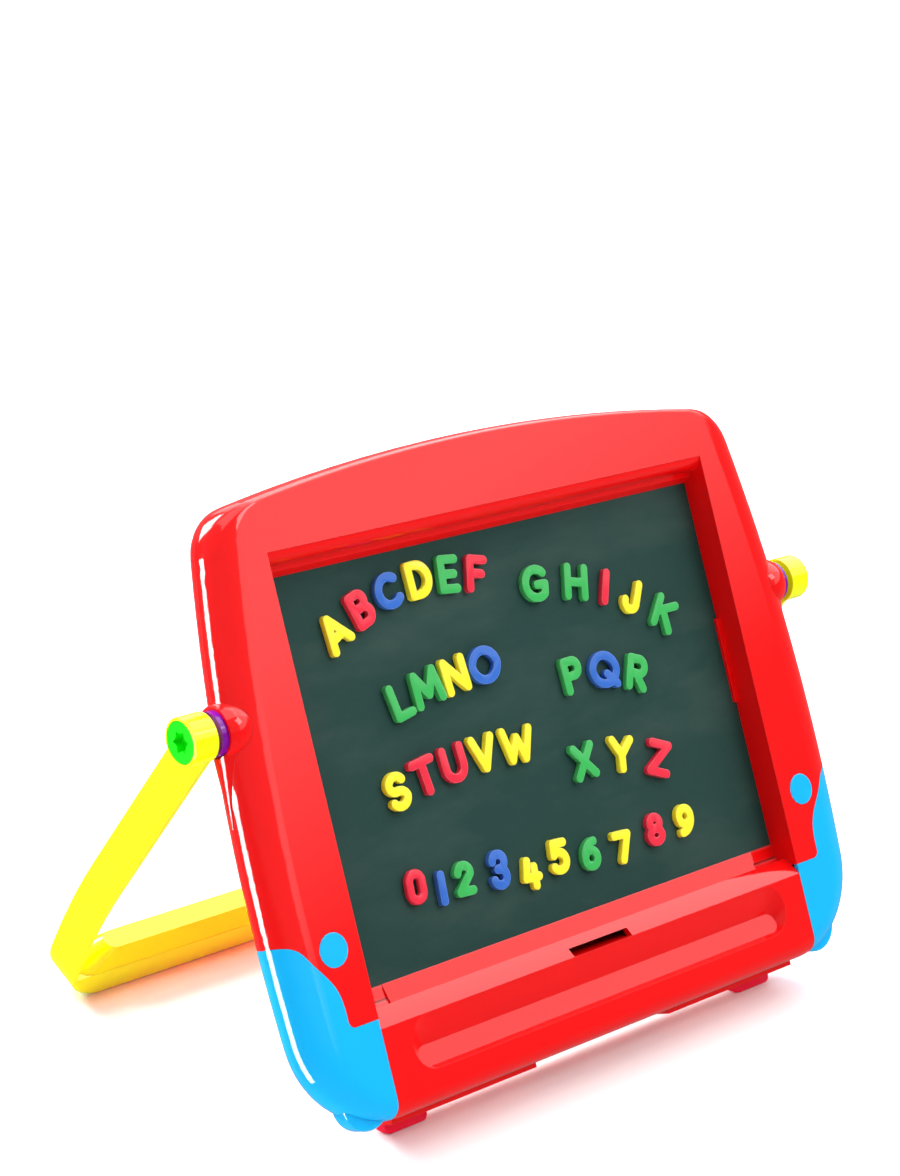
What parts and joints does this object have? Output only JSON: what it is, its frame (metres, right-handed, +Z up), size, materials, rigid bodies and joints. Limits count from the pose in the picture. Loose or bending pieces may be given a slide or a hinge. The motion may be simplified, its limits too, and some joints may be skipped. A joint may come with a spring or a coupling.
{
  "type": "tabletop chalkboard easel",
  "caption": "Tabletop magnetic chalkboard in a round-cornered plastic case with a swinging handle that props it up, and loose magnetic letters and digits.",
  "frame": {"origin": "on the floor, under the middle of the whole object's box, as it stands leaning back on its feet and handle", "axes": "+X to the right across the board, +Y back, +Z up"},
  "size_m": [0.5226, 0.2658, 0.3619],
  "materials": {
    "red_plastic": "glossy moulded plastic",
    "blue_plastic": "glossy moulded plastic",
    "yellow_plastic": "glossy moulded plastic",
    "green_plastic": "glossy moulded plastic",
    "purple_plastic": "glossy moulded plastic",
    "crimson_rubber": "soft moulded rubber",
    "chalkboard": "matt chalkboard paint on steel",
    "hardboard": "pressed hardboard",
    "steel": "zinc plated",
    "letter_yellow": "glossy moulded plastic",
    "letter_red": "glossy moulded plastic",
    "letter_blue": "glossy moulded plastic",
    "letter_green": "glossy moulded plastic"
  },
  "bodies": {
    "case": {"front_frame": "red_plastic", "rear_frame": "red_plastic", "rear_cover": "red_plastic", "chalkboard_panel": "chalkboard", "backing_board": "hardboard", "board_clips": "red_plastic", "corner_boot_left": "blue_plastic", "corner_boot_right": "blue_plastic", "corner_plug_left": "blue_plastic", "corner_plug_right": "blue_plastic", "corner_foot_left": "blue_plastic", "corner_foot_right": "blue_plastic", "rubber_foot_left": "crimson_rubber", "rubber_foot_right": "crimson_rubber", "pivot_boss_left": "red_plastic", "pivot_boss_right": "red_plastic", "friction_washer_left": "purple_plastic", "friction_washer_right": "purple_plastic", "pivot_screw_left": "green_plastic", "pivot_screw_right": "green_plastic", "pivot_nuts": "steel", "case_screws": "steel"},
    "handle": {"handle": "yellow_plastic", "handle_grip": "yellow_plastic"},
    "letter_a": {"letter_a": "letter_yellow"},
    "letter_b": {"letter_b": "letter_red"},
    "letter_c": {"letter_c": "letter_blue"},
    "letter_d": {"letter_d": "letter_yellow"},
    "letter_e": {"letter_e": "letter_green"},
    "letter_f": {"letter_f": "letter_red"},
    "letter_g": {"letter_g": "letter_green"},
    "letter_h": {"letter_h": "letter_green"},
    "letter_i": {"letter_i": "letter_red"},
    "letter_j": {"letter_j": "letter_yellow"},
    "letter_k": {"letter_k": "letter_green"},
    "letter_l": {"letter_l": "letter_green"},
    "letter_m": {"letter_m": "letter_green"},
    "letter_n": {"letter_n": "letter_yellow"},
    "letter_o": {"letter_o": "letter_blue"},
    "letter_p": {"letter_p": "letter_green"},
    "letter_q": {"letter_q": "letter_blue"},
    "letter_r": {"letter_r": "letter_green"},
    "letter_s": {"letter_s": "letter_yellow"},
    "letter_t": {"letter_t": "letter_red"},
    "letter_u": {"letter_u": "letter_red"},
    "letter_v": {"letter_v": "letter_yellow"},
    "letter_w": {"letter_w": "letter_yellow"},
    "letter_x": {"letter_x": "letter_green"},
    "letter_y": {"letter_y": "letter_yellow"},
    "letter_z": {"letter_z": "letter_red"},
    "digit_0": {"digit_0": "letter_red"},
    "digit_1": {"digit_1": "letter_blue"},
    "digit_2": {"digit_2": "letter_green"},
    "digit_3": {"digit_3": "letter_blue"},
    "digit_4": {"digit_4": "letter_yellow"},
    "digit_5": {"digit_5": "letter_yellow"},
    "digit_6": {"digit_6": "letter_green"},
    "digit_7": {"digit_7": "letter_yellow"},
    "digit_8": {"digit_8": "letter_red"},
    "digit_9": {"digit_9": "letter_yellow"}
  },
  "joints": [
    {"name": "handle_pivot", "type": "hinge", "parent": "case", "child": "handle", "pos_m": [0, 0.00051, 0.2342], "axis": [1, 0, 0], "range_deg": [-45, 290]},
    {"name": "letter_a_lift", "type": "slide", "parent": "case", "child": "letter_a", "axis": [0, -0.865, 0.5018], "range_m": [0, 0.04]},
    {"name": "letter_b_lift", "type": "slide", "parent": "case", "child": "letter_b", "axis": [0, -0.865, 0.5018], "range_m": [0, 0.04]},
    {"name": "letter_c_lift", "type": "slide", "parent": "case", "child": "letter_c", "axis": [0, -0.865, 0.5018], "range_m": [0, 0.04]},
    {"name": "letter_d_lift", "type": "slide", "parent": "case", "child": "letter_d", "axis": [0, -0.865, 0.5018], "range_m": [0, 0.04]},
    {"name": "letter_e_lift", "type": "slide", "parent": "case", "child": "letter_e", "axis": [0, -0.865, 0.5018], "range_m": [0, 0.04]},
    {"name": "letter_f_lift", "type": "slide", "parent": "case", "child": "letter_f", "axis": [0, -0.865, 0.5018], "range_m": [0, 0.04]},
    {"name": "letter_g_lift", "type": "slide", "parent": "case", "child": "letter_g", "axis": [0, -0.865, 0.5018], "range_m": [0, 0.04]},
    {"name": "letter_h_lift", "type": "slide", "parent": "case", "child": "letter_h", "axis": [0, -0.865, 0.5018], "range_m": [0, 0.04]},
    {"name": "letter_i_lift", "type": "slide", "parent": "case", "child": "letter_i", "axis": [0, -0.865, 0.5018], "range_m": [0, 0.04]},
    {"name": "letter_j_lift", "type": "slide", "parent": "case", "child": "letter_j", "axis": [0, -0.865, 0.5018], "range_m": [0, 0.04]},
    {"name": "letter_k_lift", "type": "slide", "parent": "case", "child": "letter_k", "axis": [0, -0.865, 0.5018], "range_m": [0, 0.04]},
    {"name": "letter_l_lift", "type": "slide", "parent": "case", "child": "letter_l", "axis": [0, -0.865, 0.5018], "range_m": [0, 0.04]},
    {"name": "letter_m_lift", "type": "slide", "parent": "case", "child": "letter_m", "axis": [0, -0.865, 0.5018], "range_m": [0, 0.04]},
    {"name": "letter_n_lift", "type": "slide", "parent": "case", "child": "letter_n", "axis": [0, -0.865, 0.5018], "range_m": [0, 0.04]},
    {"name": "letter_o_lift", "type": "slide", "parent": "case", "child": "letter_o", "axis": [0, -0.865, 0.5018], "range_m": [0, 0.04]},
    {"name": "letter_p_lift", "type": "slide", "parent": "case", "child": "letter_p", "axis": [0, -0.865, 0.5018], "range_m": [0, 0.04]},
    {"name": "letter_q_lift", "type": "slide", "parent": "case", "child": "letter_q", "axis": [0, -0.865, 0.5018], "range_m": [0, 0.04]},
    {"name": "letter_r_lift", "type": "slide", "parent": "case", "child": "letter_r", "axis": [0, -0.865, 0.5018], "range_m": [0, 0.04]},
    {"name": "letter_s_lift", "type": "slide", "parent": "case", "child": "letter_s", "axis": [0, -0.865, 0.5018], "range_m": [0, 0.04]},
    {"name": "letter_t_lift", "type": "slide", "parent": "case", "child": "letter_t", "axis": [0, -0.865, 0.5018], "range_m": [0, 0.04]},
    {"name": "letter_u_lift", "type": "slide", "parent": "case", "child": "letter_u", "axis": [0, -0.865, 0.5018], "range_m": [0, 0.04]},
    {"name": "letter_v_lift", "type": "slide", "parent": "case", "child": "letter_v", "axis": [0, -0.865, 0.5018], "range_m": [0, 0.04]},
    {"name": "letter_w_lift", "type": "slide", "parent": "case", "child": "letter_w", "axis": [0, -0.865, 0.5018], "range_m": [0, 0.04]},
    {"name": "letter_x_lift", "type": "slide", "parent": "case", "child": "letter_x", "axis": [0, -0.865, 0.5018], "range_m": [0, 0.04]},
    {"name": "letter_y_lift", "type": "slide", "parent": "case", "child": "letter_y", "axis": [0, -0.865, 0.5018], "range_m": [0, 0.04]},
    {"name": "letter_z_lift", "type": "slide", "parent": "case", "child": "letter_z", "axis": [0, -0.865, 0.5018], "range_m": [0, 0.04]},
    {"name": "digit_0_lift", "type": "slide", "parent": "case", "child": "digit_0", "axis": [0, -0.865, 0.5018], "range_m": [0, 0.04]},
    {"name": "digit_1_lift", "type": "slide", "parent": "case", "child": "digit_1", "axis": [0, -0.865, 0.5018], "range_m": [0, 0.04]},
    {"name": "digit_2_lift", "type": "slide", "parent": "case", "child": "digit_2", "axis": [0, -0.865, 0.5018], "range_m": [0, 0.04]},
    {"name": "digit_3_lift", "type": "slide", "parent": "case", "child": "digit_3", "axis": [0, -0.865, 0.5018], "range_m": [0, 0.04]},
    {"name": "digit_4_lift", "type": "slide", "parent": "case", "child": "digit_4", "axis": [0, -0.865, 0.5018], "range_m": [0, 0.04]},
    {"name": "digit_5_lift", "type": "slide", "parent": "case", "child": "digit_5", "axis": [0, -0.865, 0.5018], "range_m": [0, 0.04]},
    {"name": "digit_6_lift", "type": "slide", "parent": "case", "child": "digit_6", "axis": [0, -0.865, 0.5018], "range_m": [0, 0.04]},
    {"name": "digit_7_lift", "type": "slide", "parent": "case", "child": "digit_7", "axis": [0, -0.865, 0.5018], "range_m": [0, 0.04]},
    {"name": "digit_8_lift", "type": "slide", "parent": "case", "child": "digit_8", "axis": [0, -0.865, 0.5018], "range_m": [0, 0.04]},
    {"name": "digit_9_lift", "type": "slide", "parent": "case", "child": "digit_9", "axis": [0, -0.865, 0.5018], "range_m": [0, 0.04]}
  ]
}
